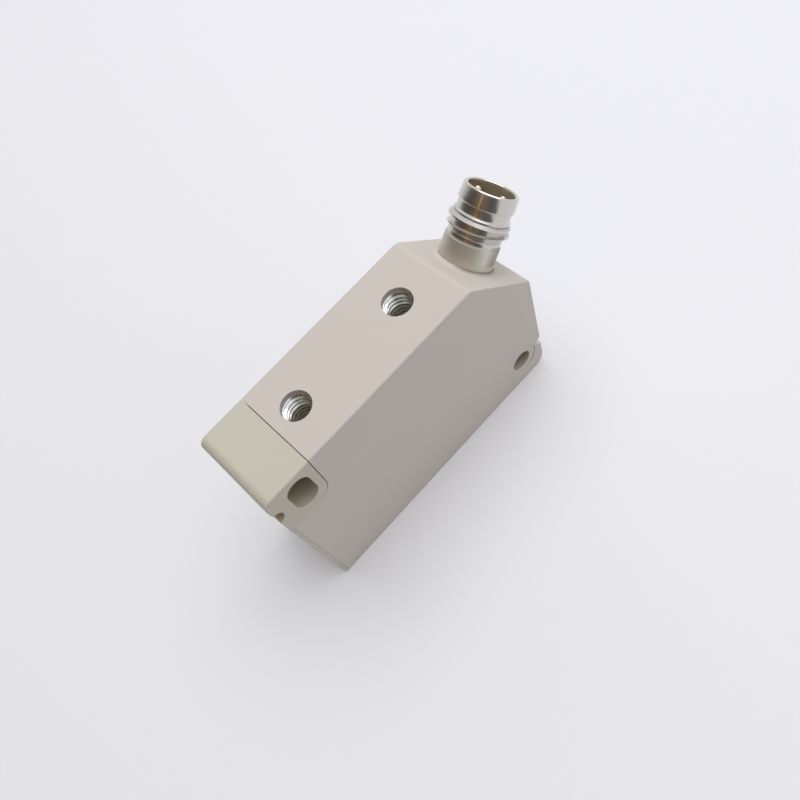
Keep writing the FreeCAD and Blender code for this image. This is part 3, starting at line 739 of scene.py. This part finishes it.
FLAG_HEIGHT = 0.11


def card_mesh(name, corners):
    """Flat card of one face between four corners."""
    mesh = bpy.data.meshes.new(name)
    mesh.from_pydata(corners, [], [(0, 1, 2, 3)])
    return mesh


def screen_mesh(name, tones):
    """Upright curved screen: an arc of a circle round the sensor on the table, raised to its height. The
    colour and the cover at each azimuth are kept on its points, interpolated between the given tones."""
    azimuths = np.array([tone[0] for tone in tones])
    colours = np.array([linear(tone[1])[:3] + (tone[2],) for tone in tones])
    degrees = np.arange(azimuths[0], azimuths[-1] + 1.0)
    angle = np.radians(degrees)[:, None]
    height = np.array([[GROUND, SCREEN_HEIGHT]])
    x = SCREEN_DISTANCE * np.cos(angle) + 0 * height
    y = SCREEN_DISTANCE * np.sin(angle) + 0 * height
    points = np.stack([x, y, height + 0 * angle], axis=-1).reshape(-1, 3)
    first = np.arange(len(degrees) - 1) * 2
    faces = np.stack([first, first + 1, first + 3, first + 2], axis=1)
    mesh = bpy.data.meshes.new(name)
    mesh.from_pydata(points, [], faces)
    shade = np.stack([np.interp(degrees, azimuths, channel) for channel in colours.T], axis=1)
    tone = mesh.color_attributes.new("tone", "FLOAT_COLOR", "POINT")
    tone.data.foreach_set("color", np.repeat(shade, 2, axis=0).ravel())
    return mesh


def background_rays(tree):
    """Output that is 1 for rays that show the background to the camera or in metal and glass, else 0."""
    path = add_node(tree, "ShaderNodeLightPath")
    seen = add_node(tree, "ShaderNodeMath", {"operation": "MAXIMUM"},
                    links={0: path.outputs["Is Camera Ray"], 1: path.outputs["Is Glossy Ray"]})
    seen = add_node(tree, "ShaderNodeMath", {"operation": "MAXIMUM"},
                    links={0: seen.outputs["Value"], 1: path.outputs["Is Transmission Ray"]})
    return seen.outputs["Value"]


def fading_card(name, colour):
    """Matt card that keeps the sensor's shadow and fades, wherever it is seen, into the room further out."""
    material, tree, shader, place = new_material(name, colour, Roughness=0.9)
    distance = add_node(tree, "ShaderNodeVectorMath", {"operation": "LENGTH"}, links={0: place})
    far = add_node(tree, "ShaderNodeMapRange", {"interpolation_type": "SMOOTHSTEP"},
                   {"From Min": TABLE_CLEAR, "From Max": TABLE_FADED}, {"Value": distance.outputs["Value"]})
    seen = add_node(tree, "ShaderNodeMath", {"operation": "MULTIPLY"},
                    links={0: far.outputs["Result"], 1: background_rays(tree)})
    room = add_node(tree, "ShaderNodeEmission", inputs={"Color": linear(ROOM_COLOUR)})
    blend = add_node(tree, "ShaderNodeMixShader", links={
        0: seen.outputs["Value"], 1: shader.outputs["BSDF"], 2: room.outputs["Emission"]})
    tree.links.new(blend.outputs["Shader"], tree.nodes["Material Output"].inputs["Surface"])
    return material


def toned_card(name, colour):
    """Matt card whose colour and cover follow the tones kept on its points."""
    material, tree, shader, _ = new_material(name, colour, Roughness=0.95)
    tone = add_node(tree, "ShaderNodeAttribute", {"attribute_name": "tone"})
    tree.links.new(tone.outputs["Color"], shader.inputs["Base Color"])
    tree.links.new(tone.outputs["Alpha"], shader.inputs["Alpha"])
    return material


table_corners = [(TABLE_REACH * x, TABLE_REACH * y, 0) for x, y in ((-1, -1), (1, -1), (1, 1), (-1, 1))]
table = linked_piece(card_mesh("table_top", table_corners), fading_card("pale_matt_card", "ECEDF1"))

screen = linked_piece(screen_mesh("curved_screen", SCREEN_TONES), toned_card("brown_grey_card", "8A847C"))

lath_sides = [(LATH_DISTANCE * math.cos(angle), LATH_DISTANCE * math.sin(angle))
              for angle in map(math.radians, LATH_AZIMUTHS)]
lath_corners = [(*lath_sides[side], LATH_HEIGHTS[end]) for side, end in ((0, 0), (1, 0), (1, 1), (0, 1))]
pine, *_ = new_material("golden_pine", "F0D596", Roughness=0.8)
lath = linked_piece(card_mesh("golden_lath", lath_corners), pine)

flag_corners = [(FLAG_DISTANCE, FLAG_REACH * y, z)
                for y, z in ((-1, GROUND), (1, GROUND), (1, FLAG_HEIGHT), (-1, FLAG_HEIGHT))]
grey_card, *_ = new_material("mid_grey_card", "6A6865", Roughness=0.9)
flag = linked_piece(card_mesh("low_flag", flag_corners), grey_card)
flag.visible_glossy = False

for hidden in (screen, lath, flag):
    hidden.visible_camera = False

# Light, in metres and watts: a large round softbox almost overhead, which the metal doesn't mirror, a window
# beyond the plug end, which shows only in the metal, and the pale room, dimmer as a light than it looks.
LAMP_TARGET = Vector((0, 0, 0.01))
SOFTBOX_PLACE = (0.11, 0.04, 0.583)
SOFTBOX_SIZE = 0.7
SOFTBOX_WATTS = 2.4
WINDOW_PLACE = (0.73, 0.07, 0.575)
WINDOW_SIZE = 0.66
WINDOW_WATTS = 2.0
ROOM_LIGHT = 0.74
ROOM_SEEN = 1.0


def disk_lamp(name, place, size, watts):
    """Round soft lamp at a place, turned to the sensor."""
    data = bpy.data.lights.new(name, "AREA")
    data.shape = "DISK"
    data.size = size
    data.energy = watts
    lamp = bpy.data.objects.new(name, data)
    lamp.location = place
    lamp.rotation_euler = (LAMP_TARGET - lamp.location).to_track_quat("-Z", "Y").to_euler()
    bpy.context.scene.collection.objects.link(lamp)
    return lamp


softbox = disk_lamp("overhead_softbox", SOFTBOX_PLACE, SOFTBOX_SIZE, SOFTBOX_WATTS)
softbox.visible_glossy = False
window = disk_lamp("side_window", WINDOW_PLACE, WINDOW_SIZE, WINDOW_WATTS)
window.visible_diffuse = False

world = bpy.data.worlds.new("pale_room")
world.use_nodes = True
tree = world.node_tree
background = tree.nodes["Background"]
background.inputs["Color"].default_value = linear(ROOM_COLOUR)
strength = add_node(tree, "ShaderNodeMapRange", inputs={"To Min": ROOM_LIGHT, "To Max": ROOM_SEEN},
                    links={"Value": background_rays(tree)})
tree.links.new(strength.outputs["Result"], background.inputs["Strength"])
bpy.context.scene.world = world

# Camera: stands in front of the visible side and above it, a hand's breadth from the sensor, where the edges
# of the block converge as in the photograph. Its lens and its own sensor are in millimetres.
CAMERA_PLACE = Vector((-15.590, -48.696, 102.294)) * MM
CAMERA_RIGHT = Vector((0.67888, -0.68981, -0.25155))
CAMERA_UP = Vector((0.71775, 0.55126, 0.42538))
CAMERA_BACK = Vector((-0.15477, -0.46933, 0.86935))
CAMERA_SENSOR = 36.0
CAMERA_LENS = 34.36
CAMERA_CLIP = 0.001

camera_data = bpy.data.cameras.new("photo_camera")
camera_data.sensor_fit = "HORIZONTAL"
camera_data.sensor_width = CAMERA_SENSOR
camera_data.lens = CAMERA_LENS
camera_data.clip_start = CAMERA_CLIP
camera = bpy.data.objects.new("photo_camera", camera_data)
turned = Matrix((CAMERA_RIGHT, CAMERA_UP, CAMERA_BACK)).transposed().to_4x4()
camera.matrix_world = Matrix.Translation(CAMERA_PLACE) @ turned
bpy.context.scene.collection.objects.link(camera)
bpy.context.scene.camera = camera
bpy.context.scene.view_settings.view_transform = "Standard"
